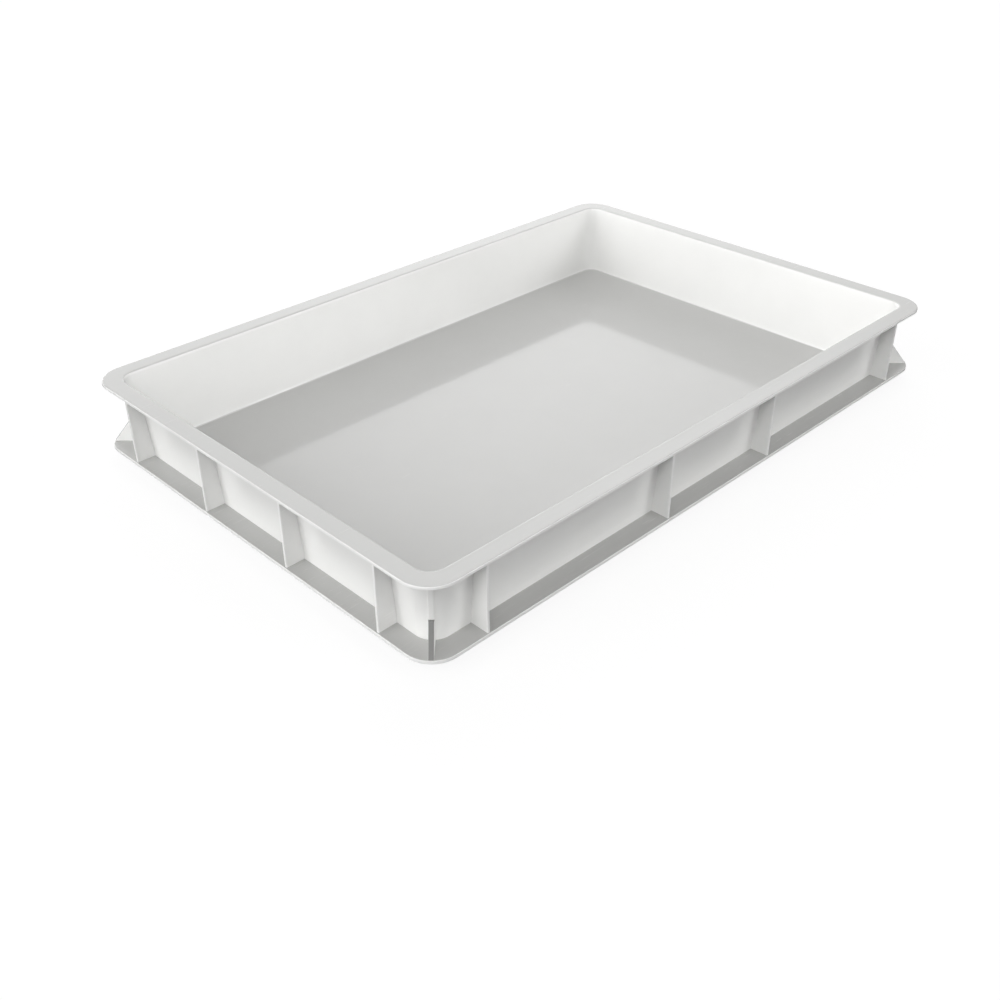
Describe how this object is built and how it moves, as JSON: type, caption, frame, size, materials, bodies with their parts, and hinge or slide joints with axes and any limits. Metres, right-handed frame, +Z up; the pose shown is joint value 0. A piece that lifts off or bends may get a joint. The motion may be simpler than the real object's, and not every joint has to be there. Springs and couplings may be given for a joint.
{
  "type": "dough proofing box",
  "caption": "Shallow open stacking box for proofing dough, with a flat rim, a base flange, upright ribs between them and corner gussets.",
  "frame": {"origin": "middle of the flat underside that the box rests on", "axes": "+X along the length, +Y across the width, +Z up out of the open mouth"},
  "size_m": [0.6, 0.4, 0.07],
  "materials": {
    "moulded_plastic": "smooth semi-gloss white food-grade moulding"
  },
  "bodies": {
    "root": {"tub_shell": "moulded_plastic", "rim_flange": "moulded_plastic", "base_flange": "moulded_plastic", "front_rib_1": "moulded_plastic", "front_rib_2": "moulded_plastic", "front_rib_3": "moulded_plastic", "front_rib_4": "moulded_plastic", "rear_rib_1": "moulded_plastic", "rear_rib_2": "moulded_plastic", "rear_rib_3": "moulded_plastic", "rear_rib_4": "moulded_plastic", "left_rib_1": "moulded_plastic", "left_rib_2": "moulded_plastic", "left_rib_3": "moulded_plastic", "left_rib_4": "moulded_plastic", "right_rib_1": "moulded_plastic", "right_rib_2": "moulded_plastic", "right_rib_3": "moulded_plastic", "right_rib_4": "moulded_plastic", "front_left_gusset": "moulded_plastic", "front_right_gusset": "moulded_plastic", "rear_left_gusset": "moulded_plastic", "rear_right_gusset": "moulded_plastic"}
  },
  "joints": []
}
